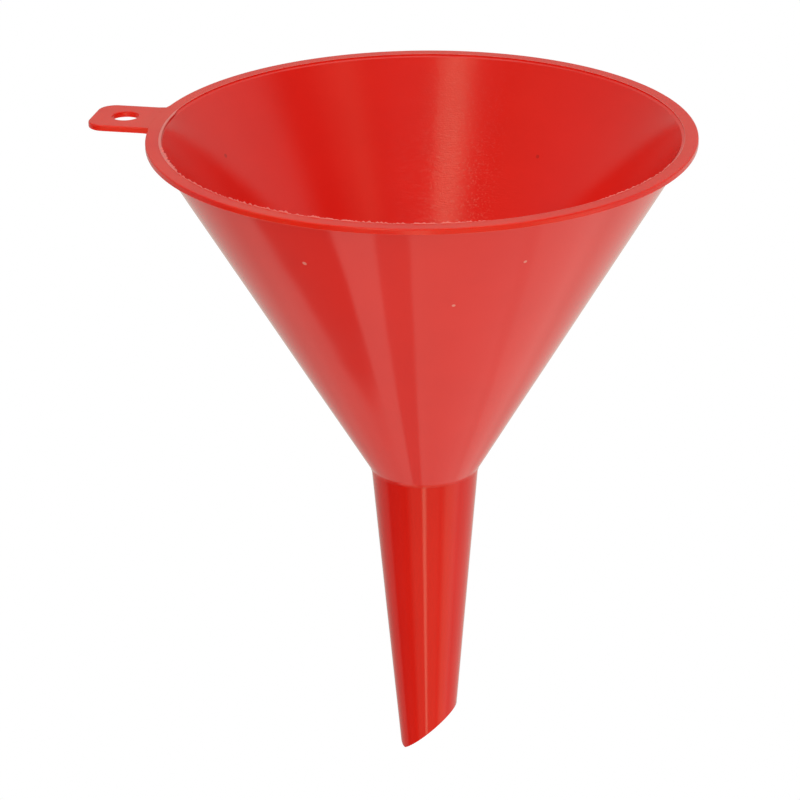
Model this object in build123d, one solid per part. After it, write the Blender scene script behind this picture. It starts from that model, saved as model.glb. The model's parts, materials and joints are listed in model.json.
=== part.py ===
from build123d import *
import math
import os

# Funnel, millimetres. The row frame has its origin on the axis at the shoulder, where the
# bowl's cone runs into the spout. +Z points up to the rim, and -X points to the hanging tab.
# The real funnel is one plastic moulding. It is split here along its own feature lines, and
# the solids meet face to face.

# Rim
RIM_RADIUS = 80.0
RIM_HEIGHT = 106.1
FLANGE_THICKNESS = 1.8
FLANGE_EDGE_ROUND = 0.4

# Bowl: a 60 degree cone, measured on its outside
SHOULDER_RADIUS = 16.2
BOWL_HALF_ANGLE = 30.2
BOWL_WALL = 2.0

# Spout: a slow taper, cut off on a slant that is lowest under the tab. The slant would end in a
# thin point, so beyond NOSE_REACH from the axis its low end is rounded up to the outer wall.
SPOUT_HALF_ANGLE = 4.8
SPOUT_WALL = 1.6
CUT_AXIS_DEPTH = 90.15
CUT_TILT = 42.3
SPOUT_STOCK_DEPTH = 110.0
NOSE_REACH = 6.05
NOSE_RADIUS = 2.35

# Hanging tab
TAB_WIDTH = 19.6
TAB_REACH = 99.0
TAB_CORNER_RADIUS = 5.2
TAB_ROOT_RADIUS = 74.0
HANG_HOLE_RADIUS = 4.0
HANG_HOLE_REACH = 89.2

# Derived from the dimensions above
FLANGE_UNDERSIDE = RIM_HEIGHT - FLANGE_THICKNESS
BOWL_SLOPE = math.tan(math.radians(BOWL_HALF_ANGLE))
SPOUT_SLOPE = math.tan(math.radians(SPOUT_HALF_ANGLE))
BOWL_WALL_ACROSS = BOWL_WALL / math.cos(math.radians(BOWL_HALF_ANGLE))
SPOUT_WALL_ACROSS = SPOUT_WALL / math.cos(math.radians(SPOUT_HALF_ANGLE))
BORE_TOP_HEIGHT = (BOWL_WALL_ACROSS - SPOUT_WALL_ACROSS) / (BOWL_SLOPE - SPOUT_SLOPE)
RIM_CUTTER_DEPTH = 4 * FLANGE_THICKNESS
NOSE_LOWEST = -CUT_AXIS_DEPTH - NOSE_REACH * math.tan(math.radians(CUT_TILT))


def bowl_outer_radius(z):
    return SHOULDER_RADIUS + BOWL_SLOPE * z


def bowl_inner_radius(z):
    return bowl_outer_radius(z) - BOWL_WALL_ACROSS


def spout_outer_radius(z):
    return SHOULDER_RADIUS + SPOUT_SLOPE * z


def spout_inner_radius(z):
    return spout_outer_radius(z) - SPOUT_WALL_ACROSS


def turned(profile):
    """The solid that a closed (radius, height) outline makes when it turns about the Z axis."""
    outline = Polyline([(radius, 0, height) for radius, height in profile], close=True)
    return revolve(make_face(outline), Axis.Z, 360)


def bowl():
    """Cone wall from the shoulder up to the underside of the flange."""
    return turned([
        (spout_inner_radius(0), 0),
        (SHOULDER_RADIUS, 0),
        (bowl_outer_radius(FLANGE_UNDERSIDE), FLANGE_UNDERSIDE),
        (bowl_inner_radius(FLANGE_UNDERSIDE), FLANGE_UNDERSIDE),
        (bowl_inner_radius(BORE_TOP_HEIGHT), BORE_TOP_HEIGHT),
    ])


def rim_plate():
    """Flange and tab as one flat plate, with its outer edges rounded and its hole cut."""
    tab_length = TAB_REACH - TAB_ROOT_RADIUS
    tab_middle = -(TAB_REACH + TAB_ROOT_RADIUS) / 2
    disc = Circle(RIM_RADIUS)
    tab = Pos(tab_middle, 0) * Rectangle(tab_length, TAB_WIDTH)
    tab = fillet(tab.vertices().group_by(Axis.X)[0], TAB_CORNER_RADIUS)
    plate = Pos(0, 0, FLANGE_UNDERSIDE) * extrude(disc + tab, FLANGE_THICKNESS)
    level_edges = plate.edges().group_by(Axis.Z)
    plate = fillet(level_edges[0] + level_edges[-1], FLANGE_EDGE_ROUND)
    hole = Pos(-HANG_HOLE_REACH, 0, RIM_HEIGHT) * Cylinder(HANG_HOLE_RADIUS, RIM_CUTTER_DEPTH)
    return plate - hole


def rim_disc():
    """Everything inside the flange's outer radius, to split the flange from the tab."""
    return Pos(0, 0, RIM_HEIGHT) * Cylinder(RIM_RADIUS, RIM_CUTTER_DEPTH)


def rim_flange():
    """Flat ring round the mouth, whose inner face carries on the bowl's cone."""
    mouth = turned([
        (0, FLANGE_UNDERSIDE),
        (bowl_inner_radius(FLANGE_UNDERSIDE), FLANGE_UNDERSIDE),
        (bowl_inner_radius(RIM_HEIGHT), RIM_HEIGHT),
        (0, RIM_HEIGHT),
    ])
    return (rim_plate() & rim_disc()) - mouth


def hanging_tab():
    """Flat tab outside the flange, with rounded corners and a hole to hang the funnel by."""
    return rim_plate() - rim_disc()


def nose_waste():
    """What lies outside the rounded nose, beyond NOSE_REACH on the spout's low side."""
    block = 2 * SPOUT_STOCK_DEPTH
    round_height = NOSE_LOWEST + NOSE_RADIUS
    beyond = Pos(-NOSE_REACH - block / 2, 0, round_height - block / 2) * Box(block, block, block)
    roller = Pos(-NOSE_REACH, 0, round_height) * Rot(90, 0, 0) * Cylinder(NOSE_RADIUS, block)
    return beyond - roller


def spout():
    """Tapered tube below the shoulder, cut off on the slant and blunted at its low end."""
    stock = turned([
        (spout_inner_radius(0), 0),
        (SHOULDER_RADIUS, 0),
        (spout_outer_radius(-SPOUT_STOCK_DEPTH), -SPOUT_STOCK_DEPTH),
        (spout_inner_radius(-SPOUT_STOCK_DEPTH), -SPOUT_STOCK_DEPTH),
    ])
    cut_plane = Plane(origin=(0, 0, -CUT_AXIS_DEPTH)).rotated((0, -CUT_TILT, 0))
    block = 2 * SPOUT_STOCK_DEPTH
    slant_waste = cut_plane * Pos(0, 0, -block / 2) * Box(block, block, block)
    return stock - slant_waste - nose_waste()


def main():
    os.makedirs("parts", exist_ok=True)
    nodes = {
        "bowl": bowl(),
        "rim_flange": rim_flange(),
        "hanging_tab": hanging_tab(),
        "spout": spout(),
    }
    for name, shape in nodes.items():
        export_step(shape, f"parts/{name}.step")


main()
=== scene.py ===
import json
import math

import bmesh
import bpy
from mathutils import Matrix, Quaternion, Vector, noise


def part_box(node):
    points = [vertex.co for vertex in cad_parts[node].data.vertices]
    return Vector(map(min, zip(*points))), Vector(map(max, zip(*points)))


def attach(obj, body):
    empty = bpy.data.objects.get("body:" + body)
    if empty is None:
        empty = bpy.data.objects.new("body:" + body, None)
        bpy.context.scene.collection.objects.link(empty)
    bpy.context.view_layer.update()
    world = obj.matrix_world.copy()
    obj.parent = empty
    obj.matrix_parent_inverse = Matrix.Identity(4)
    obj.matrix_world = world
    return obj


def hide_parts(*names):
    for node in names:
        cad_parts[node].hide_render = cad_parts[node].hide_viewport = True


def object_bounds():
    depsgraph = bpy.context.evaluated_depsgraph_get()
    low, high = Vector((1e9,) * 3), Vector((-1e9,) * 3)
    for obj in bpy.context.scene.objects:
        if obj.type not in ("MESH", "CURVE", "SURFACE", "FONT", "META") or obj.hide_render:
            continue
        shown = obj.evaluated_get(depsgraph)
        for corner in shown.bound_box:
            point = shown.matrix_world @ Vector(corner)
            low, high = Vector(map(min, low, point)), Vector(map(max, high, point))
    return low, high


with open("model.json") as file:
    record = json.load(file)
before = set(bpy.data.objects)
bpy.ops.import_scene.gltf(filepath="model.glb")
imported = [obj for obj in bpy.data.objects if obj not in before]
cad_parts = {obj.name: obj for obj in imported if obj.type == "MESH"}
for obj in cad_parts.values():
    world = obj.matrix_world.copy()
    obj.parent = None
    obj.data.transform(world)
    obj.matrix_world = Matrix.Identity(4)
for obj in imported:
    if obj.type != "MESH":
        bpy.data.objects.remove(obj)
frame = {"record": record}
cad_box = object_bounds()

MM = 0.001

# ---------------------------------------------------------------- sizes, in metres

_, bowl_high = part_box("bowl")
rim_low, rim_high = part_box("rim_flange")
tab_low, tab_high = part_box("hanging_tab")
_, spout_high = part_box("spout")
mounts = {mount["name"]: mount for mount in frame["record"]["mounts"]}

RIM_RADIUS = rim_high.x
RIM_TOP = rim_high.z
RIM_UNDER = rim_low.z
SHOULDER_RADIUS = spout_high.x
BOWL_SLOPE = (bowl_high.x - SHOULDER_RADIUS) / RIM_UNDER
BOWL_WALL = 2.0 * MM
BOWL_WALL_ACROSS = BOWL_WALL * math.hypot(1, BOWL_SLOPE)

SPOUT_TAPER = math.radians(4.8)
SPOUT_SLOPE = math.tan(SPOUT_TAPER)
SPOUT_WALL = 1.6 * MM
SPOUT_WALL_ACROSS = SPOUT_WALL * math.hypot(1, SPOUT_SLOPE)
CUT_ANGLE = math.radians(42.3)
CUT_SLOPE = math.tan(CUT_ANGLE)
CUT_AXIS_Z = mounts["spout_outlet"]["pos_m"][2]
NOSE_REACH = 6.05 * MM
NOSE_RADIUS = 2.35 * MM
NOSE_CENTRE_Z = CUT_AXIS_Z - NOSE_REACH * CUT_SLOPE + NOSE_RADIUS

TAB_END = tab_low.x
TAB_HALF_WIDTH = tab_high.y
TAB_CORNER_RADIUS = 5.2 * MM
TAB_ROOT_ANGLE = math.asin(TAB_HALF_WIDTH / RIM_RADIUS)
HOLE_CENTRE = Vector(mounts["hang_hole"]["pos_m"])
HOLE_RADIUS = mounts["hang_hole"]["dims"]["r_mm"] * MM

# Inside the mouth the flange drops down a short land to a small ledge, where the bowl's wall starts.
RIM_WIDTH = 3.94 * MM
MOUTH_RADIUS = RIM_RADIUS - RIM_WIDTH
LAND_DEPTH = 0.45 * MM
LAND_TAPER = 0.03 * MM
LEDGE_DEPTH = 0.78 * MM

# Rounded edges. Where the tab joins the flange they fade out to sharp ones.
TOP_EDGE_ROUND = 0.45 * MM
UNDER_EDGE_ROUND = 0.30 * MM
SHARP_EDGE_ROUND = 0.02 * MM
EDGE_FADE = 2.5 * MM
HOLE_TOP_ROUND = 0.15 * MM
HOLE_UNDER_ROUND = 0.50 * MM
TIP_ROUND = 0.20 * MM
INNER_TIP_ROUND = 0.12 * MM

# A small bead runs round the shoulder, and the plain cone starts just above it.
BEAD_RADIUS = 0.30 * MM
BEAD_SUNK = 0.4 * BEAD_RADIUS
BEAD_FROM = -80
BEAD_TO = 10
CONE_START = 1.2 * MM

# The cooled wall isn't quite even: long waves with finer ones on them.
WAVE_FREQUENCY = 28.0
WAVE_HEIGHT = 0.05 * MM
FINER_WAVES = 2.7
FINER_SHARE = 0.4

# How finely the meshes are divided.
ARC_STEPS = 5
BOWL_SEGMENTS = 360
BOWL_ROWS = 50
RIM_SEGMENTS = 2400
RIM_TAB_SEGMENTS = 96
RIM_SIDE_ROWS = 2
RIM_TOP_ROWS = 3
TAB_SIDE_STEPS = 40
TAB_CORNER_STEPS = 16
TAB_END_STEPS = 30
TAB_WALL_ROWS = 2
TAB_FACE_ROWS = 4
SPOUT_SEGMENTS = 240
SPOUT_ROWS = 60
END_STEPS = 8
SHARP_ANGLE = math.radians(35)

# A row of points close to each corner keeps its shading crisp: how close, at most what part of the
# way to the next corner, and the part of the way on the tab.
SUPPORT = 0.12 * MM
MOST_SUPPORT = 0.25
TAB_SUPPORT = 0.06


def bowl_outer(z):
    return SHOULDER_RADIUS + BOWL_SLOPE * z


def bowl_inner(z):
    return bowl_outer(z) - BOWL_WALL_ACROSS


def spout_inner(z):
    return SHOULDER_RADIUS + SPOUT_SLOPE * z - SPOUT_WALL_ACROSS


# ---------------------------------------------------------------- mesh helpers

def smoothstep(value):
    value = min(max(value, 0.0), 1.0)
    return value * value * (3 - 2 * value)


def face_outwards(mesh):
    builder = bmesh.new()
    builder.from_mesh(mesh)
    bmesh.ops.recalc_face_normals(builder, faces=builder.faces)
    builder.to_mesh(mesh)
    builder.free()


def torus_mesh(name, loops):
    """A closed mesh through equally long closed loops of points, joined all the way round."""
    around = len(loops)
    across = len(loops[0])
    points = [point for loop in loops for point in loop]
    faces = []
    for i in range(around):
        first = i * across
        second = (i + 1) % around * across
        for j in range(across):
            k = (j + 1) % across
            faces.append((first + j, second + j, second + k, first + k))
    mesh = bpy.data.meshes.new(name)
    mesh.from_pydata(points, [], faces)
    face_outwards(mesh)
    mesh.polygons.foreach_set("use_smooth", [True] * len(mesh.polygons))
    mesh.set_sharp_from_angle(angle=SHARP_ANGLE)
    piece = bpy.data.objects.new(name, mesh)
    bpy.context.scene.collection.objects.link(piece)
    return piece


def arc(centre, radius, start, end):
    """Points (r, z) on an arc, both ends included; angles in degrees from +r towards +z."""
    points = []
    for i in range(ARC_STEPS + 1):
        angle = math.radians(start + (end - start) * i / ARC_STEPS)
        points.append((centre[0] + radius * math.cos(angle), centre[1] + radius * math.sin(angle)))
    return points


def inner_parts(near, steps):
    """Parts of a length: one close to each end, and even steps between them."""
    return [near] + [near + (1 - 2 * near) * i / steps for i in range(1, steps)] + [1 - near]


def run(start, end, steps):
    """Points strictly between two (r, z) points, the first and last of them close to the ends."""
    near = min(SUPPORT / math.dist(start, end), MOST_SUPPORT)
    return [
        (start[0] + (end[0] - start[0]) * part, start[1] + (end[1] - start[1]) * part)
        for part in inner_parts(near, steps)
    ]


def blend_corner(start, corner, end):
    """Points of a quadratic curve that rounds a corner off."""
    points = []
    for i in range(ARC_STEPS + 1):
        part = i / ARC_STEPS
        first = start.lerp(corner, part)
        second = corner.lerp(end, part)
        points.append(tuple(first.lerp(second, part)))
    return points


def outwards(angle):
    """The horizontal direction at an angle round the axis."""
    return Vector((math.cos(angle), math.sin(angle), 0))


def settle(radius, angle, z):
    """A point of the moulding, moved by the slight unevenness of its cooled wall."""
    direction = outwards(angle)
    place = direction * radius + Vector((0, 0, z))
    waves = place * WAVE_FREQUENCY
    drift = noise.noise(waves) + FINER_SHARE * noise.noise(waves * FINER_WAVES)
    return place + direction * (drift * WAVE_HEIGHT)


def stand(profile, angle):
    """The loop of points that an (r, z) profile makes at an angle round the axis."""
    return [settle(radius, angle, z) for radius, z in profile]


def even_angles(count):
    return [2 * math.pi * i / count for i in range(count)]


def edge_rounds(fade):
    """Radii of the top and under edge: 0 gives sharp edges and 1 the full rounding."""
    return [
        SHARP_EDGE_ROUND + (full - SHARP_EDGE_ROUND) * fade
        for full in (TOP_EDGE_ROUND, UNDER_EDGE_ROUND)
    ]


# ---------------------------------------------------------------- bowl

def bowl_profile():
    """Wall of the bowl: the bead at the shoulder, up the outside, and down the inside."""
    bore_top = (BOWL_WALL_ACROSS - SPOUT_WALL_ACROSS) / (BOWL_SLOPE - SPOUT_SLOPE)
    bead_centre = (bowl_outer(BEAD_RADIUS) - BEAD_SUNK, BEAD_RADIUS)
    outside_foot = (bowl_outer(CONE_START), CONE_START)
    outside_head = (bowl_outer(RIM_UNDER), RIM_UNDER)
    inside_head = (bowl_inner(RIM_UNDER), RIM_UNDER)
    inside_foot = (bowl_inner(bore_top), bore_top)
    bore_foot = (spout_inner(0), 0)
    points = arc(bead_centre, BEAD_RADIUS, BEAD_FROM, BEAD_TO)
    points += [outside_foot]
    points += run(outside_foot, outside_head, BOWL_ROWS)
    points += [outside_head, inside_head]
    points += run(inside_head, inside_foot, BOWL_ROWS)
    points += [inside_foot, bore_foot]
    return points


def make_bowl():
    profile = bowl_profile()
    return torus_mesh("bowl_wall", [stand(profile, angle) for angle in even_angles(BOWL_SEGMENTS)])


bowl = make_bowl()


# ---------------------------------------------------------------- rim flange

# The flash along the mouth's inner edge, by degrees round the axis: smooth near the tab, then torn,
# and small teeth further on. Tears and teeth follow two rows of noise along the edge, one coarse
# and one fine, with this many changes a millimetre.
SMOOTH_FLASH = (-187, -143)
TORN_FLASH = (-162, -64)
TOOTHED_FLASH = (-40, -8)
FLASH_FADE = 4.0
COARSE_TEARS = 0.45
FINE_TEARS = 1.5
COARSE_ROW = 3.1
FINE_ROW = 7.7
TEAR_DEPTH = 0.22
TEAR_BY_COARSE = 0.30
TEAR_BY_FINE = 0.45
TOOTH_DEPTH = 0.16
TOOTH_BY_FINE = 0.35

# How far the flash reaches inwards and lifts, where it is least, smooth and torn to its full depth.
LEAST_REACH = 0.04 * MM
SMOOTH_REACH = 0.62 * MM
TORN_REACH = 1.1 * MM
LEAST_LIFT = 0.03 * MM
SMOOTH_LIFT = 0.10 * MM
TORN_LIFT = 0.9 * MM

# Section of the flash: it grows from the edge's corner, bends up to a crest and droops to its tip.
FLASH_ROOT = 0.15 * MM
FLASH_DROOP = 0.04 * MM
CREST_AT_REACH = 0.4
TIP_AT_LIFT = 0.3


def edge_fade(angle):
    """1 on the open rim, falling to 0 over the last stretch before the tab's root corners."""
    from_tab = abs(abs(angle) - math.pi)
    return smoothstep((from_tab - TAB_ROOT_ANGLE) * RIM_RADIUS / EDGE_FADE)


def stretch(degrees, ends):
    """1 between two angles and 0 outside them, with soft ends."""
    start, end = ends
    return smoothstep((degrees - start) / FLASH_FADE) * smoothstep((end - degrees) / FLASH_FADE)


def flash(angle):
    """Reach and lift of the thin fin of flash on the mouth's inner edge."""
    degrees = (math.degrees(angle) + 360) % 360 - 360
    along = angle * RIM_RADIUS / MM
    coarse = noise.noise((along * COARSE_TEARS, COARSE_ROW, 0.0))
    fine = noise.noise((along * FINE_TEARS, FINE_ROW, 0.0))
    tears = TEAR_DEPTH + TEAR_BY_COARSE * coarse + TEAR_BY_FINE * fine
    teeth = TOOTH_DEPTH + TOOTH_BY_FINE * fine
    smooth = stretch(degrees, SMOOTH_FLASH)
    torn = stretch(degrees, TORN_FLASH) * tears
    toothed = stretch(degrees, TOOTHED_FLASH) * teeth
    depth = max(torn, toothed, 0.0)
    reach = LEAST_REACH + SMOOTH_REACH * smooth + TORN_REACH * depth
    lift = LEAST_LIFT + SMOOTH_LIFT * smooth + TORN_LIFT * depth
    return reach, lift


def flash_and_land(angle):
    """The mouth's inner edge: up the fin of flash, down past its tip, the land and the ledge."""
    reach, lift = flash(angle)
    ledge_z = RIM_TOP - LEDGE_DEPTH
    return [
        (MOUTH_RADIUS + FLASH_ROOT, RIM_TOP),
        (MOUTH_RADIUS - CREST_AT_REACH * reach, RIM_TOP + lift),
        (MOUTH_RADIUS - reach, RIM_TOP + TIP_AT_LIFT * lift - FLASH_DROOP),
        (MOUTH_RADIUS, RIM_TOP - FLASH_ROOT),
        (MOUTH_RADIUS - LAND_TAPER, RIM_TOP - LAND_DEPTH),
        (bowl_inner(ledge_z), ledge_z),
    ]


def rim_profile(angle):
    """Section of the flange, from its inner corner below, round the outer edge, to the mouth."""
    top_round, under_round = edge_rounds(edge_fade(angle))
    inner_corner = (bowl_inner(RIM_UNDER), RIM_UNDER)
    under_arc = arc((RIM_RADIUS - under_round, RIM_UNDER + under_round), under_round, -90, 0)
    top_arc = arc((RIM_RADIUS - top_round, RIM_TOP - top_round), top_round, 0, 90)
    mouth_edge = flash_and_land(angle)
    points = [inner_corner]
    points += run(inner_corner, under_arc[0], RIM_SIDE_ROWS)
    points += under_arc
    points += run(under_arc[-1], top_arc[0], RIM_SIDE_ROWS)
    points += top_arc
    points += run(top_arc[-1], mouth_edge[0], RIM_TOP_ROWS)
    points += mouth_edge
    points += run(mouth_edge[-1], inner_corner, RIM_SIDE_ROWS)
    return points


def rim_angles():
    """Even angles all round, with one exactly at each root corner of the tab."""
    corner = math.pi - TAB_ROOT_ANGLE
    open_steps = RIM_SEGMENTS - RIM_TAB_SEGMENTS
    open_part = [-corner + 2 * corner * i / open_steps for i in range(open_steps + 1)]
    tab_steps = RIM_TAB_SEGMENTS
    tab_part = [corner + 2 * TAB_ROOT_ANGLE * i / tab_steps for i in range(1, tab_steps)]
    return open_part + [angle - 2 * math.pi for angle in tab_part]


rim = torus_mesh("rim_ring", [stand(rim_profile(angle), angle) for angle in rim_angles()])


# ---------------------------------------------------------------- hanging tab

UP = Vector((0, 0, 1))


def tab_root():
    """The arc on which the tab meets the flange, from its -y corner to its +y corner."""
    rows = []
    for i in range(TAB_SIDE_STEPS + 1):
        direction = outwards(math.pi + TAB_ROOT_ANGLE * (1 - 2 * i / TAB_SIDE_STEPS))
        rows.append((direction * RIM_RADIUS, -direction, 0.0))
    return rows


def tab_side(side):
    """One straight side of the tab, from the root outwards; side is 1 on +y and -1 on -y."""
    root_x = -RIM_RADIUS * math.cos(TAB_ROOT_ANGLE)
    length = root_x - (TAB_END + TAB_CORNER_RADIUS)
    rows = []
    for i in range(1, TAB_SIDE_STEPS):
        along = length * i / TAB_SIDE_STEPS
        point = Vector((root_x - along, side * TAB_HALF_WIDTH, 0))
        rows.append((point, Vector((0, side, 0)), along / EDGE_FADE))
    return rows


def tab_corner(side, quarter):
    """A rounded corner of the tab's end, which starts after so many quarter turns from +x."""
    centre_y = side * (TAB_HALF_WIDTH - TAB_CORNER_RADIUS)
    centre = Vector((TAB_END + TAB_CORNER_RADIUS, centre_y, 0))
    rows = []
    for i in range(TAB_CORNER_STEPS + 1):
        direction = outwards(math.pi / 2 * (quarter + i / TAB_CORNER_STEPS))
        rows.append((centre + direction * TAB_CORNER_RADIUS, direction, 1.0))
    return rows


def tab_end():
    """The straight end of the tab between its rounded corners, from +y to -y."""
    half = TAB_HALF_WIDTH - TAB_CORNER_RADIUS
    rows = []
    for i in range(1, TAB_END_STEPS):
        point = Vector((TAB_END, half * (1 - 2 * i / TAB_END_STEPS), 0))
        rows.append((point, Vector((-1, 0, 0)), 1.0))
    return rows


def tab_outline():
    """(point, outward normal, edge fade) all round the tab, starting along its root."""
    outline = tab_root()
    outline += tab_side(1)
    outline += tab_corner(1, 1)
    outline += tab_end()
    outline += tab_corner(-1, 2)
    outline += reversed(tab_side(-1))
    return outline


def round_edge(corner, inward, radius, height, start, end):
    """A rounded edge whose centre is at this height, between two angles above the horizontal."""
    points = []
    for i in range(ARC_STEPS + 1):
        turn = math.radians(start + (end - start) * i / ARC_STEPS)
        offset = inward * (radius * (1 - math.cos(turn)))
        rise = UP * (height + radius * math.sin(turn))
        points.append(corner + offset + rise)
    return points


def flat(start, end, steps):
    return [start.lerp(end, part) for part in inner_parts(TAB_SUPPORT, steps)]


def tab_loop(point, normal, fade):
    """Section of the tab from the hole's wall out to one point of the outline."""
    top_round, under_round = edge_rounds(smoothstep(fade))
    centre = Vector((HOLE_CENTRE.x, HOLE_CENTRE.y, 0))
    spoke = (point - centre).normalized()
    hole = centre + spoke * HOLE_RADIUS
    hole_top = hole + UP * (RIM_TOP - HOLE_TOP_ROUND)
    top_edge = point - normal * top_round + UP * RIM_TOP
    side_foot = point + UP * (RIM_UNDER + under_round)
    loop = round_edge(hole, spoke, HOLE_UNDER_ROUND, RIM_UNDER + HOLE_UNDER_ROUND, -90, 0)
    loop += flat(loop[-1], hole_top, TAB_WALL_ROWS)
    loop += round_edge(hole, spoke, HOLE_TOP_ROUND, RIM_TOP - HOLE_TOP_ROUND, 0, 90)
    loop += flat(loop[-1], top_edge, TAB_FACE_ROWS)
    loop += round_edge(point, -normal, top_round, RIM_TOP - top_round, 90, 0)
    loop += flat(loop[-1], side_foot, TAB_WALL_ROWS)
    loop += round_edge(point, -normal, under_round, RIM_UNDER + under_round, 0, -90)
    loop += flat(loop[-1], loop[0], TAB_FACE_ROWS)
    return loop


tab = torus_mesh("hanging_tab_plate", [tab_loop(*row) for row in tab_outline()])


# ---------------------------------------------------------------- spout

CUT_ROUNDS = 12


def end_height(x):
    """Height of the spout's end at a distance x along the tab's line: slant, then rounded nose."""
    past = min(-x - NOSE_REACH, NOSE_RADIUS)
    if past <= 0:
        return CUT_AXIS_Z + CUT_SLOPE * x
    return NOSE_CENTRE_Z - math.sqrt(NOSE_RADIUS ** 2 - past ** 2)


def end_point(cone, angle):
    """Point (r, z) where the spout's end cuts the cone that has this radius at the shoulder."""
    z = CUT_AXIS_Z
    for _ in range(CUT_ROUNDS):
        z = end_height((cone + SPOUT_SLOPE * z) * math.cos(angle))
    return Vector((cone + SPOUT_SLOPE * z, z))


def end_surface(outer_cone, inner_cone, angle):
    """Points across the wall at the spout's end, clear of the two rounded corners."""
    start = outer_cone - TIP_ROUND
    end = inner_cone + INNER_TIP_ROUND
    cones = [start + (end - start) * i / END_STEPS for i in range(END_STEPS + 1)]
    return [end_point(cone, angle) for cone in cones]


def spout_profile(angle):
    """Section of the spout: down the outside, across the end and up the inside."""
    inner_radius = spout_inner(0)
    along = Vector((SPOUT_SLOPE, 1.0)).normalized()
    outer_tip = end_point(SHOULDER_RADIUS, angle)
    inner_tip = end_point(inner_radius, angle)
    outer_start = outer_tip + along * TIP_ROUND
    inner_finish = inner_tip + along * INNER_TIP_ROUND
    end = end_surface(SHOULDER_RADIUS, inner_radius, angle)
    top_outer = (SHOULDER_RADIUS, 0.0)
    top_inner = (inner_radius, 0.0)
    profile = [top_outer]
    profile += run(top_outer, outer_start, SPOUT_ROWS)
    profile += blend_corner(outer_start, outer_tip, end[0])
    profile += [tuple(point) for point in end[1:-1]]
    profile += blend_corner(end[-1], inner_tip, inner_finish)
    profile += run(inner_finish, top_inner, SPOUT_ROWS)
    profile += [top_inner]
    return profile


def make_spout():
    loops = [stand(spout_profile(angle), angle) for angle in even_angles(SPOUT_SEGMENTS)]
    return torus_mesh("spout_tube", loops)


spout = make_spout()


# ---------------------------------------------------------------- node helpers

class Nodes:
    """Short-hand for building a node tree."""

    def __init__(self, tree):
        self.tree = tree
        tree.nodes.clear()

    def add(self, kind, **settings):
        node = self.tree.nodes.new(kind)
        for key, value in settings.items():
            setattr(node, key, value)
        return node

    def feed(self, socket, value):
        """Link a socket to a node's output, or set it to a constant."""
        if isinstance(value, bpy.types.NodeSocket):
            self.tree.links.new(value, socket)
        else:
            socket.default_value = value

    def fill(self, node, *values):
        """Feed the first inputs of a node in their order, and return its first output."""
        for slot, value in enumerate(values):
            self.feed(node.inputs[slot], value)
        return node.outputs[0]

    def math(self, operation, *values):
        return self.fill(self.add("ShaderNodeMath", operation=operation), *values)

    def plus(self, first, second):
        return self.math("ADD", first, second)

    def times(self, first, second):
        return self.math("MULTIPLY", first, second)

    def remap(self, value, low, high, to_low, to_high):
        """A soft step from one level to another as the value goes from low to high."""
        node = self.add("ShaderNodeMapRange", interpolation_type="SMOOTHSTEP")
        return self.fill(node, value, low, high, to_low, to_high)

    def slope(self, value, low, high, to_low, to_high):
        """The same step with a straight slope."""
        node = self.add("ShaderNodeMapRange", interpolation_type="LINEAR")
        return self.fill(node, value, low, high, to_low, to_high)

    def mix_colours(self, factor, first, second):
        node = self.add("ShaderNodeMix", data_type="RGBA")
        self.feed(node.inputs["Factor"], factor)
        self.feed(node.inputs[6], first)
        self.feed(node.inputs[7], second)
        return node.outputs[2]

    def mix_levels(self, factor, first, second):
        node = self.add("ShaderNodeMix", data_type="FLOAT")
        self.feed(node.inputs[0], factor)
        self.feed(node.inputs[2], first)
        self.feed(node.inputs[3], second)
        return node.outputs[0]

    def split(self, vector):
        node = self.add("ShaderNodeSeparateXYZ")
        self.feed(node.inputs[0], vector)
        return node.outputs

    def radius(self, x, y):
        """Distance from the axis."""
        return self.math("SQRT", self.plus(self.times(x, x), self.times(y, y)))

    def noise(self, vector, scale, detail):
        node = self.add("ShaderNodeTexNoise")
        self.feed(node.inputs["Vector"], vector)
        self.feed(node.inputs["Scale"], scale)
        self.feed(node.inputs["Detail"], detail)
        return node.outputs[0]

    def bump(self, height, distance, normal=None):
        """A normal bent by a height, on top of an earlier normal if there is one."""
        node = self.add("ShaderNodeBump")
        self.feed(node.inputs["Strength"], 1.0)
        self.feed(node.inputs["Distance"], distance)
        self.feed(node.inputs["Height"], height)
        if normal is not None:
            self.feed(node.inputs["Normal"], normal)
        return node.outputs[0]


# ---------------------------------------------------------------- moulded plastic

RED = (0.86, 0.016, 0.010, 1.0)
DEEP_RED = (0.82, 0.013, 0.008, 1.0)
# A more orange red for the flange and tab, which are the same plastic as the bowl: a painted glow of
# light through the thin flange.
RIM_GLOW_RED = (0.86, 0.030, 0.014, 1.0)
# Paler red of the flash along the mouth: partly whitened plastic, partly a painted highlight of its
# ragged fin.
FLASH_WHITENING_AND_HIGHLIGHT_RED = (0.92, 0.20, 0.19, 1.0)
# Paler red of the grains in the worn strip: scuff marks, and a painted sparkle of the highlight
# streak there.
SCUFF_AND_SPARKLE_RED = (0.88, 0.16, 0.12, 1.0)
NICK_RED = (0.45, 0.006, 0.004, 1.0)
PALE_RED = (0.90, 0.42, 0.38, 1.0)

# How the plastic bends light, and how deep each colour soaks in, as shares of a depth.
PLASTIC_IOR = 1.5
SOAK_SHARES = (1.0, 0.12, 0.06)
SOAK_DEPTH = 2.0 * MM

# Marks that run round the axis: how often they change round it and up it.
RING_TURNS = 1.6
RING_RISES = 2560.0
SCRATCH_TURNS = 22.0
SCRATCH_RISES = 3200.0

# Scales of the marks that run no particular way.
SPECKLE_SCALE = 1800.0
SCUFF_SPARKLE_SCALE = 1400.0
CLOUD_SCALE = 30.0

# Parts of each noise's range over which a mark grows from nothing to its full strength.
SCRATCH_GROWS = (0.50, 0.66)
SCUFF_SPARKLE_GROWS = (0.54, 0.68)
CLOUD_DEEPENS = (0.3, 0.7)
CLOUD_DULLS = (0.3, 0.75)
GLOSSIEST = 0.85
DULLEST = 1.2
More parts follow.
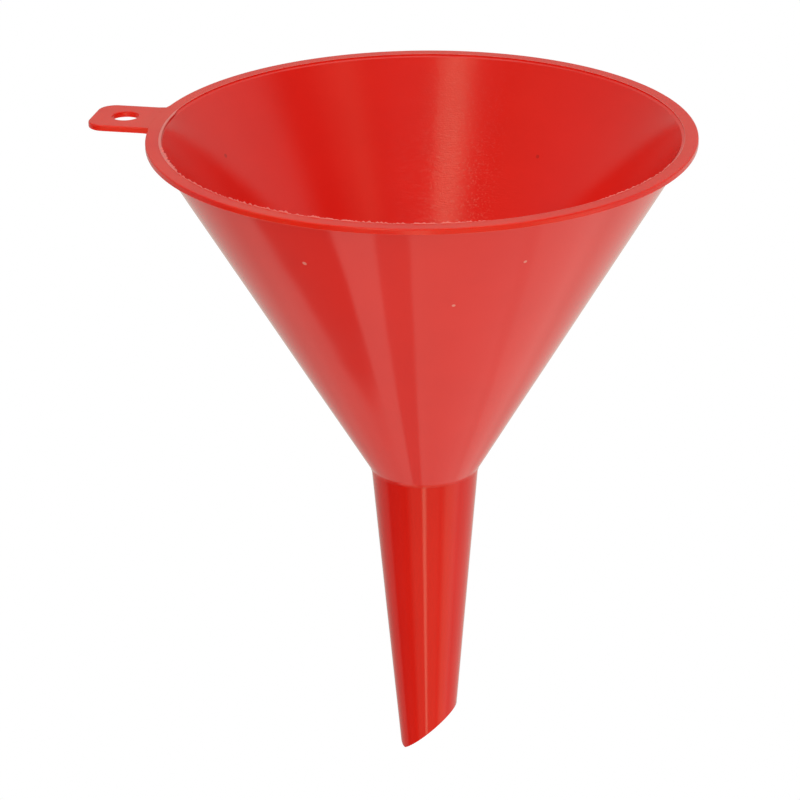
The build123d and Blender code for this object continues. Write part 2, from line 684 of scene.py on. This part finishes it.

# The worn strip of wall, which lies where the highlight streak falls on the inside: its direction
# round the axis, and how far the grains of scuff marks in it and the scratches round it reach to
# each side (in degrees) and up (between which heights they fade).
# The grains' paler colour is a painted sparkle of the streak.
WORN_ANGLE = math.radians(89.0)
WORN_MIDDLE = 5
SCUFF_SPARKLE_HALF_WIDTH = 15
SCUFF_SPARKLE_FADE = (58 * MM, 104 * MM)
SCRATCH_HALF_WIDTH = 34
SCRATCH_FADE = (60 * MM, 112 * MM)
WORN_LEAST = 0.15
WEAR_HEIGHT = 0.018 * MM
WEAR_ROUGHNESS = 0.10
# How strongly the grains are painted paler as sparkle, and from how much wear.
PAINTED_SPARKLE_SHARE = 0.30
PAINTED_SPARKLE_FROM_WEAR = 0.5

# Soft edges of the flash, and of the tab's root, where no light soaks through the plastic.
FLASH_OUTER_EDGE = (MOUTH_RADIUS + 0.02 * MM, MOUTH_RADIUS + 0.10 * MM)
FLASH_LOWER_EDGE = (RIM_TOP - 0.06 * MM, RIM_TOP - 0.02 * MM)
ROOT_FADE = (1.5 * MM, 4.0 * MM)
ROOT_SIDE = (-0.985 * RIM_RADIUS, -0.975 * RIM_RADIUS)

NICK_STRENGTH = 0.6
NICK_CORE = 0.4
HAZE_ROUGHNESS = 0.45


def around_axis(nodes, place, turns, rises):
    """Coordinates that run round the axis and up it, for marks that the turned mould left."""
    x, y, z = nodes.split(place)
    radius = nodes.radius(x, y)
    across = nodes.times(nodes.math("DIVIDE", x, radius), turns)
    away = nodes.times(nodes.math("DIVIDE", y, radius), turns)
    return nodes.fill(nodes.add("ShaderNodeCombineXYZ"), across, away, nodes.times(z, rises))


def nick_mask(nodes, place, nicks):
    """1 inside each small round nick, given as (degrees round the axis, radius, height, size)."""
    total = 0.0
    for degrees, radius, height, size in nicks:
        distance = nodes.add("ShaderNodeVectorMath", operation="DISTANCE")
        nodes.feed(distance.inputs[0], place)
        nodes.feed(distance.inputs[1], outwards(math.radians(degrees)) * radius + UP * height)
        spot = nodes.remap(distance.outputs["Value"], size * NICK_CORE, size, 1.0, 0.0)
        total = nodes.plus(spot, total)
    return nodes.remap(total, 0.0, 1.0, 0.0, 1.0)


def worn_and_sparkle_mask(nodes, place, half_width, fade):
    """1 low down in the middle of the worn strip, falling to 0 beside it and to little above it."""
    toward = nodes.add("ShaderNodeVectorMath", operation="DOT_PRODUCT")
    nodes.feed(toward.inputs[0], around_axis(nodes, place, 1.0, 0.0))
    nodes.feed(toward.inputs[1], outwards(WORN_ANGLE))
    edge = math.cos(math.radians(half_width))
    middle = math.cos(math.radians(WORN_MIDDLE))
    near = nodes.remap(toward.outputs["Value"], edge, middle, 0.0, 1.0)
    z = nodes.split(place)[2]
    return nodes.times(near, nodes.remap(z, *fade, 1.0, WORN_LEAST))


def scratches(nodes, place):
    """Fine scratches round the axis, in and beside the worn strip."""
    marks = nodes.noise(around_axis(nodes, place, SCRATCH_TURNS, SCRATCH_RISES), 1.0, 2.0)
    worn = worn_and_sparkle_mask(nodes, place, SCRATCH_HALF_WIDTH, SCRATCH_FADE)
    return nodes.times(nodes.remap(marks, *SCRATCH_GROWS, 0.0, 1.0), worn)


def scuff_and_sparkle_grains(nodes, place):
    """Grains of scuff marks in the worn strip; their pale colour is a painted sparkle of the
    highlight streak there.
    """
    grain_noise = nodes.noise(place, SCUFF_SPARKLE_SCALE, 2.0)
    worn = worn_and_sparkle_mask(nodes, place, SCUFF_SPARKLE_HALF_WIDTH, SCUFF_SPARKLE_FADE)
    return nodes.times(nodes.remap(grain_noise, *SCUFF_SPARKLE_GROWS, 0.0, 1.0), worn)


def flash_mask(nodes, place):
    """1 on the thin flash along the mouth's inner edge, which is painted paler: partly its whitened
    plastic, partly a painted highlight of the ragged fin.
    """
    x, y, z = nodes.split(place)
    inside = nodes.remap(nodes.radius(x, y), *FLASH_OUTER_EDGE, 1.0, 0.0)
    above = nodes.remap(z, *FLASH_LOWER_EDGE, 0.0, 1.0)
    return nodes.times(inside, above)


def root_mask(nodes, place):
    """1 close to the tab's root, where the flange and the tab are one thickness of plastic."""
    x, y, _ = nodes.split(place)
    gap = nodes.math("ABSOLUTE", nodes.math("SUBTRACT", nodes.radius(x, y), RIM_RADIUS))
    near = nodes.remap(gap, *ROOT_FADE, 1.0, 0.0)
    tab_side = nodes.remap(x, *ROOT_SIDE, 1.0, 0.0)
    return nodes.times(near, tab_side)


def new_plastic(name, haze):
    """A glossy plastic with a soft haze on it, as (material, nodes, shader)."""
    material = bpy.data.materials.new(name)
    material.use_nodes = True
    nodes = Nodes(material.node_tree)
    shader = nodes.add("ShaderNodeBsdfPrincipled")
    shader.inputs["IOR"].default_value = PLASTIC_IOR
    shader.inputs["Subsurface Radius"].default_value = SOAK_SHARES
    shader.inputs["Subsurface Scale"].default_value = SOAK_DEPTH
    shader.inputs["Coat Weight"].default_value = haze
    shader.inputs["Coat Roughness"].default_value = HAZE_ROUGHNESS
    output = nodes.add("ShaderNodeOutputMaterial")
    nodes.feed(output.inputs[0], shader.outputs[0])
    return material, nodes, shader


def plastic_colour(nodes, place, cloud, colour, nicks, nick_colour):
    """The plastic's own red, a little uneven, with the nicks in it."""
    red = nodes.mix_colours(nodes.remap(cloud, *CLOUD_DEEPENS, 0.0, 1.0), colour, DEEP_RED)
    if nicks:
        nick = nodes.times(nick_mask(nodes, place, nicks), NICK_STRENGTH)
        red = nodes.mix_colours(nick, red, nick_colour)
    return red


def thin_edges(nodes, shader, place, red, share):
    """Light soaks into the thin flange and tab, but not at the tab's root or the flash, whose paler
    colour is partly whitened plastic and partly a painted highlight.
    """
    fin = flash_mask(nodes, place)
    solid = nodes.math("MAXIMUM", fin, root_mask(nodes, place))
    nodes.feed(shader.inputs["Subsurface Weight"], nodes.mix_levels(solid, share, 0.0))
    return nodes.mix_colours(fin, red, FLASH_WHITENING_AND_HIGHLIGHT_RED)


def moulded_plastic(
    name, colour, roughness, ring_height, speckle_height, wear=0.0,
    nicks=(), nick_colour=None, thin=0.0, haze=0.0,
):
    """Glossy red moulded plastic, with turning marks from the mould, wear, nicks and haze; heavy
    wear adds a painted sparkle, and thin plastic a paler flash with a painted highlight.
    """
    material, nodes, shader = new_plastic(name, haze)
    place = nodes.add("ShaderNodeTexCoord").outputs["Object"]
    cloud = nodes.noise(place, CLOUD_SCALE, 4.0)
    rings = nodes.noise(around_axis(nodes, place, RING_TURNS, RING_RISES), 1.0, 3.0)
    speckle = nodes.noise(place, SPECKLE_SCALE, 2.0)
    red = plastic_colour(nodes, place, cloud, colour, nicks, nick_colour)
    rough = nodes.remap(cloud, *CLOUD_DULLS, roughness * GLOSSIEST, roughness * DULLEST)
    normal = nodes.bump(rings, ring_height)
    normal = nodes.bump(speckle, speckle_height, normal)
    if thin > 0:
        red = thin_edges(nodes, shader, place, red, thin)
    if wear > 0:
        scored = scratches(nodes, place)
        scuff_sparkle = scuff_and_sparkle_grains(nodes, place)
        rough = nodes.plus(rough, nodes.times(scored, WEAR_ROUGHNESS * wear))
        normal = nodes.bump(scored, WEAR_HEIGHT * wear, normal)
        normal = nodes.bump(scuff_sparkle, WEAR_HEIGHT * wear, normal)
    # Painted sparkle: where wear is heavy the grains turn paler, standing in for the glints of the
    # highlight streak.
    if wear > PAINTED_SPARKLE_FROM_WEAR:
        red = nodes.mix_colours(nodes.times(scuff_sparkle, PAINTED_SPARKLE_SHARE), red, SCUFF_AND_SPARKLE_RED)
    nodes.feed(shader.inputs["Base Color"], red)
    nodes.feed(shader.inputs["Roughness"], rough)
    nodes.feed(shader.inputs["Normal"], normal)
    return material


def nicks_in(wall, spots):
    """Nicks for nick_mask on a wall of the bowl, from their (degrees, height, size) in mm."""
    return [(degrees, wall(height * MM), height * MM, size * MM) for degrees, height, size in spots]


OUTSIDE_NICKS = nicks_in(bowl_outer, [(-107.0, 88.8, 0.9), (-54.2, 89.8, 0.7), (-70.4, 76.0, 0.7)])
INSIDE_NICKS = nicks_in(bowl_inner, [(165.0, 89.4, 0.9), (66.0, 81.1, 0.8)])

outside_plastic = moulded_plastic(
    "moulded_plastic_outside", RED,
    roughness=0.09, ring_height=0.0012 * MM, speckle_height=0.0006 * MM,
    nicks=OUTSIDE_NICKS, nick_colour=PALE_RED,
)
# The inside's heavy wear also turns on the painted sparkle of the grains in the worn strip.
inside_plastic = moulded_plastic(
    "moulded_plastic_inside", RED,
    roughness=0.11, ring_height=0.006 * MM, speckle_height=0.030 * MM,
    wear=1.0, nicks=INSIDE_NICKS, nick_colour=NICK_RED, haze=0.22,
)
bore_plastic = moulded_plastic(
    "moulded_plastic_bore", RED,
    roughness=0.38, ring_height=0.004 * MM, speckle_height=0.010 * MM, wear=0.2,
)
# The flange and tab get the more orange red of the painted glow.
rim_plastic = moulded_plastic(
    "moulded_plastic_rim", RIM_GLOW_RED,
    roughness=0.20, ring_height=0.001 * MM, speckle_height=0.003 * MM, wear=0.1, thin=0.6,
)


def faces_axis(face):
    return face.normal.x * face.center.x + face.normal.y * face.center.y < 0


def inside_below_ledge(face):
    return face.center.z < RIM_TOP - LAND_DEPTH and faces_axis(face)


def paint(piece, plain, inner=None, is_inner=faces_axis):
    """Give a piece its plastic, and another to the faces that pass the test."""
    piece.data.materials.append(plain)
    if inner is None:
        return
    piece.data.materials.append(inner)
    for face in piece.data.polygons:
        face.material_index = 1 if is_inner(face) else 0


paint(bowl, outside_plastic, inside_plastic)
paint(rim, rim_plastic, inside_plastic, inside_below_ledge)
paint(tab, rim_plastic)
paint(spout, outside_plastic, bore_plastic)

for piece, node in ((bowl, "bowl"), (rim, "rim_flange"), (tab, "hanging_tab"), (spout, "spout")):
    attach(piece, "root")
    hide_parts(node)


# ---------------------------------------------------------------- camera

CAMERA_AZIMUTH = math.radians(11.6)
CAMERA_ELEVATION = math.radians(18.734)
CAMERA_DISTANCE = 0.9209
CAMERA_ROLL = math.radians(-0.727)
CAMERA_LENS = 142.49
SENSOR_WIDTH = 36.0
NEAREST_SEEN = 0.05
FARTHEST_SEEN = 50.0
AIM_ACROSS = -7.24 * MM
AIM_HEIGHT = 21.60 * MM


def direction_to(azimuth, elevation):
    """The direction at an azimuth from -Y towards +X and an elevation above the horizontal."""
    level = math.cos(elevation)
    return Vector((math.sin(azimuth) * level, -math.cos(azimuth) * level, math.sin(elevation)))


def make_camera():
    """The camera looks at a point a little beside the axis, a given way off the rim's centre."""
    across = Vector((math.cos(CAMERA_AZIMUTH), math.sin(CAMERA_AZIMUTH), 0))
    data = bpy.data.cameras.new("camera")
    data.lens = CAMERA_LENS
    data.sensor_width = SENSOR_WIDTH
    data.clip_start = NEAREST_SEEN
    data.clip_end = FARTHEST_SEEN
    camera = bpy.data.objects.new("camera", data)
    bpy.context.scene.collection.objects.link(camera)
    back = direction_to(CAMERA_AZIMUTH, CAMERA_ELEVATION)
    camera.location = UP * RIM_TOP + back * CAMERA_DISTANCE
    aim = across * AIM_ACROSS + UP * AIM_HEIGHT
    look = (aim - camera.location).to_track_quat("-Z", "Y")
    camera.rotation_mode = "QUATERNION"
    camera.rotation_quaternion = look @ Quaternion((0, 0, 1), CAMERA_ROLL)
    bpy.context.scene.camera = camera


make_camera()


# ---------------------------------------------------------------- floor

FLOOR_GAP = 0.2 * MM
FLOOR_Z = cad_box[0].z - FLOOR_GAP
FLOOR_SIZE = 12.0
WHITE = (1.0, 1.0, 1.0, 1.0)


def make_plane(name, size, z):
    half = size / 2
    mesh = bpy.data.meshes.new(name)
    corners = [(-half, -half, 0), (half, -half, 0), (half, half, 0), (-half, half, 0)]
    mesh.from_pydata(corners, [], [(0, 1, 2, 3)])
    plane = bpy.data.objects.new(name, mesh)
    bpy.context.scene.collection.objects.link(plane)
    plane.location.z = z
    return plane


def glowing(name, colour):
    """A material that gives off one colour, whatever light falls on it."""
    material = bpy.data.materials.new(name)
    material.use_nodes = True
    nodes = Nodes(material.node_tree)
    emission = nodes.add("ShaderNodeEmission")
    nodes.feed(emission.inputs["Color"], colour)
    nodes.feed(emission.inputs["Strength"], 1.0)
    output = nodes.add("ShaderNodeOutputMaterial")
    nodes.feed(output.inputs[0], emission.outputs[0])
    return material


def make_floor():
    """A white floor that is only seen: the light that comes off a floor is in the studio."""
    floor = make_plane("floor", FLOOR_SIZE, FLOOR_Z)
    floor.data.materials.append(glowing("floor_white", WHITE))
    floor.visible_glossy = False
    floor.visible_diffuse = False
    floor.visible_shadow = False


make_floor()


# ---------------------------------------------------------------- studio

# Light levels round the studio, as (degrees from the camera, positive to the right; level): the
# upper walls, a streak of light high on them, the reflectors that stand low, and the floor.
UPPER_LEVELS = [
    (-180, 0.56), (-130, 0.44), (-90, 0.32), (-62, 0.24), (-56, 0.10), (-36, 0.04), (-27, 0.12),
    (-12, 0.26), (-5, 0.10), (10, 0.06), (30, 0.10), (38, 0.45), (47, 0.50), (53, 0.28),
    (62, 0.22), (70, 0.06), (86, 0.04), (93, 0.28), (104, 0.66), (130, 0.75), (160, 0.58),
    (180, 0.56),
]
STREAK_LEVELS = [
    (-30, 0.0), (-28, 0.3), (-24, 1.2), (-20.5, 2.6), (-16.5, 1.4), (-13, 2.8), (-10.5, 0.0),
]
STREAK_ANGLE = -19
LOWER_LEVELS = [
    (-180, 0.90), (-150, 0.70), (-125, 0.55), (-98, 0.42), (-90, 0.07), (-44, 0.08), (-30, 0.50),
    (-11, 0.50), (-8, 0.45), (-4.5, 2.6), (-0.5, 2.6), (4, 0.60), (28, 0.55), (38, 0.38),
    (44, 0.60), (52, 1.05), (75, 1.15), (88, 0.72), (120, 0.85), (160, 0.90), (180, 0.90),
]
FLOOR_LEVELS = [
    (-180, 0.90), (-150, 0.75), (-125, 0.75), (-105, 0.95), (-60, 1.25), (0, 1.10), (60, 1.05),
    (105, 1.12), (150, 1.10), (180, 1.00),
]

# How the levels change with height, z being the sine of the elevation: (z from, z to, value at the
# first, value at the second).
UPPER_SPREAD = (0.61, 0.70, 0.84, 1.12)
STREAK_SPREAD = (0.645, 0.67, 1.15, 0.95)
STREAK_STRENGTH = (0.642, 0.655, 1.4, 0.5)
HORIZON_STEP = (-0.05, 0.12, 0.0, 1.0)
FLOOR_STEP = (-0.78, -0.70, 1.0, 0.0)
CEILING_STEP = (0.74, 0.86, 0.0, 1.0)
CEILING_LEVEL = 1.15
STUDIO_LEVEL = 0.8

# The share of blue in the light, which falls towards the camera in the same way, with y for z.
BLUE_BY_DEPTH = (-0.6, 0.0, 0.68, 0.90)

# What lies on the floor, as slopes of the way down to it: to the right, and away from the camera.
# The deep shadow is between two lines, and the other things are bands from left to right.
DEEP_LEFT_LINE = ((-0.414, 0.114), (-0.637, 0.395))
DEEP_RIGHT_LINE = ((-0.378, -0.013), (-0.307, 0.027))
LINE_SOFTNESS = 0.008
DEEP_LEVEL = 0.26
FAINT_BAND = ((-0.215, -0.20), (-0.060, -0.050))
FAINT_LEVEL = 0.58
DIM_BAND = ((0.425, 0.445), (0.486, 0.494))
DIMMED_BY = 0.09
BRIGHTER_BEYOND = 1.06
LEAST_FALL = 0.05


def azimuth_levels(nodes, x, y, levels, spread=1.0, about=0.0):
    """A value that follows levels round the compass, spread out about one of its angles."""
    top = max(level for _, level in levels)
    middle = math.radians(about)
    turned_by = nodes.math("SUBTRACT", nodes.math("ARCTAN2", x, nodes.times(y, -1.0)), middle)
    angle = nodes.plus(nodes.math("DIVIDE", turned_by, spread), middle)
    share = nodes.plus(nodes.math("DIVIDE", angle, 2 * math.pi), 0.5)
    ramp = nodes.add("ShaderNodeValToRGB")
    elements = ramp.color_ramp.elements
    while len(elements) > 1:
        elements.remove(elements[-1])
    for i, (degrees, level) in enumerate(levels):
        position = degrees / 360 + 0.5
        element = elements[0] if i == 0 else elements.new(position)
        element.position = position
        grey = level / top
        element.color = (grey, grey, grey, 1)
    return nodes.times(nodes.fill(ramp, share), top)


def beyond_line(nodes, x, y, ends):
    """1 on the left of the line from its start to its end, 0 on its right, with a soft step."""
    start, end = (Vector(point) for point in ends)
    along = end - start
    normal = Vector((-along.y, along.x)).normalized()
    offset = normal.dot(start)
    across = nodes.plus(nodes.times(x, normal.x), nodes.times(y, normal.y))
    return nodes.remap(across, offset - LINE_SOFTNESS, offset + LINE_SOFTNESS, 0.0, 1.0)


def band(nodes, value, rise, fall):
    """1 between two soft edges, each given as (from, to), and 0 outside them."""
    return nodes.times(nodes.remap(value, *rise, 0.0, 1.0), nodes.remap(value, *fall, 1.0, 0.0))


def floor_levels(nodes, x, y, z):
    """The floor below the funnel: a deep shadow on its left and a faint one towards the camera."""
    fall = nodes.math("MAXIMUM", nodes.times(z, -1.0), LEAST_FALL)
    across = nodes.math("DIVIDE", x, fall)
    away = nodes.math("DIVIDE", y, fall)
    level = azimuth_levels(nodes, x, y, FLOOR_LEVELS)
    level = nodes.mix_levels(band(nodes, across, *FAINT_BAND), level, FAINT_LEVEL)
    beyond = nodes.remap(across, *DIM_BAND[1], 1.0, BRIGHTER_BEYOND)
    dimmed = nodes.times(band(nodes, across, *DIM_BAND), DIMMED_BY)
    level = nodes.times(level, nodes.math("SUBTRACT", beyond, dimmed))
    left_edge = beyond_line(nodes, across, away, DEEP_LEFT_LINE)
    right_edge = beyond_line(nodes, across, away, DEEP_RIGHT_LINE)
    return nodes.mix_levels(nodes.times(left_edge, right_edge), level, DEEP_LEVEL)


def upper_levels(nodes, x, y, z):
    """The upper walls with their streak, whose width and strength change with the height."""
    walls = azimuth_levels(nodes, x, y, UPPER_LEVELS, nodes.slope(z, *UPPER_SPREAD))
    spread = nodes.slope(z, *STREAK_SPREAD)
    streak = azimuth_levels(nodes, x, y, STREAK_LEVELS, spread, STREAK_ANGLE)
    return nodes.plus(walls, nodes.times(streak, nodes.slope(z, *STREAK_STRENGTH)))


def studio_level(nodes, x, y, z):
    """Light that comes from a direction: floor, low reflectors, upper walls and ceiling."""
    upper = upper_levels(nodes, x, y, z)
    lower = azimuth_levels(nodes, x, y, LOWER_LEVELS)
    level = nodes.mix_levels(nodes.remap(z, *HORIZON_STEP), lower, upper)
    level = nodes.mix_levels(nodes.remap(z, *FLOOR_STEP), level, floor_levels(nodes, x, y, z))
    level = nodes.mix_levels(nodes.remap(z, *CEILING_STEP), level, CEILING_LEVEL)
    return nodes.times(level, STUDIO_LEVEL)


def make_world():
    """White to the camera. To everything else a soft, warm studio, turned to face the camera."""
    world = bpy.data.worlds.new("studio")
    bpy.context.scene.world = world
    world.use_nodes = True
    nodes = Nodes(world.node_tree)
    turn = nodes.add("ShaderNodeMapping")
    nodes.feed(turn.inputs["Vector"], nodes.add("ShaderNodeTexCoord").outputs["Generated"])
    nodes.feed(turn.inputs["Rotation"], (0, 0, -CAMERA_AZIMUTH))
    x, y, z = nodes.split(turn.outputs[0])
    level = studio_level(nodes, x, y, z)
    blue = nodes.times(level, nodes.remap(y, *BLUE_BY_DEPTH))
    warm = nodes.fill(nodes.add("ShaderNodeCombineColor"), level, level, blue)
    seen = nodes.add("ShaderNodeLightPath").outputs["Is Camera Ray"]
    background = nodes.add("ShaderNodeBackground")
    nodes.feed(background.inputs["Color"], nodes.mix_colours(seen, warm, WHITE))
    output = nodes.add("ShaderNodeOutputWorld")
    nodes.feed(output.inputs[0], background.outputs[0])


make_world()


# ---------------------------------------------------------------- lights

def softbox(name, azimuth, elevation, distance, size, power):
    """A square soft light that looks at the shoulder and shows in no reflection."""
    data = bpy.data.lights.new(name, "AREA")
    data.shape = "SQUARE"
    data.size = size
    data.energy = power
    light = bpy.data.objects.new(name, data)
    bpy.context.scene.collection.objects.link(light)
    back = direction_to(CAMERA_AZIMUTH + math.radians(azimuth), math.radians(elevation))
    light.location = back * distance
    light.rotation_mode = "QUATERNION"
    light.rotation_quaternion = (-back).to_track_quat("-Z", "Y")
    light.visible_camera = False
    light.visible_glossy = False


# Degrees from the camera (positive to the right) and up, distance and size in metres, and power.
softbox("softbox_above", -10, 48, distance=1.4, size=1.2, power=7.4)
softbox("softbox_left", -80, -50, distance=1.3, size=0.8, power=2.2)
softbox("softbox_right", 80, 6, distance=1.3, size=0.8, power=2.6)
softbox("softbox_low", 0, -66, distance=1.3, size=0.8, power=2.6)

bpy.context.scene.view_settings.view_transform = "Standard"
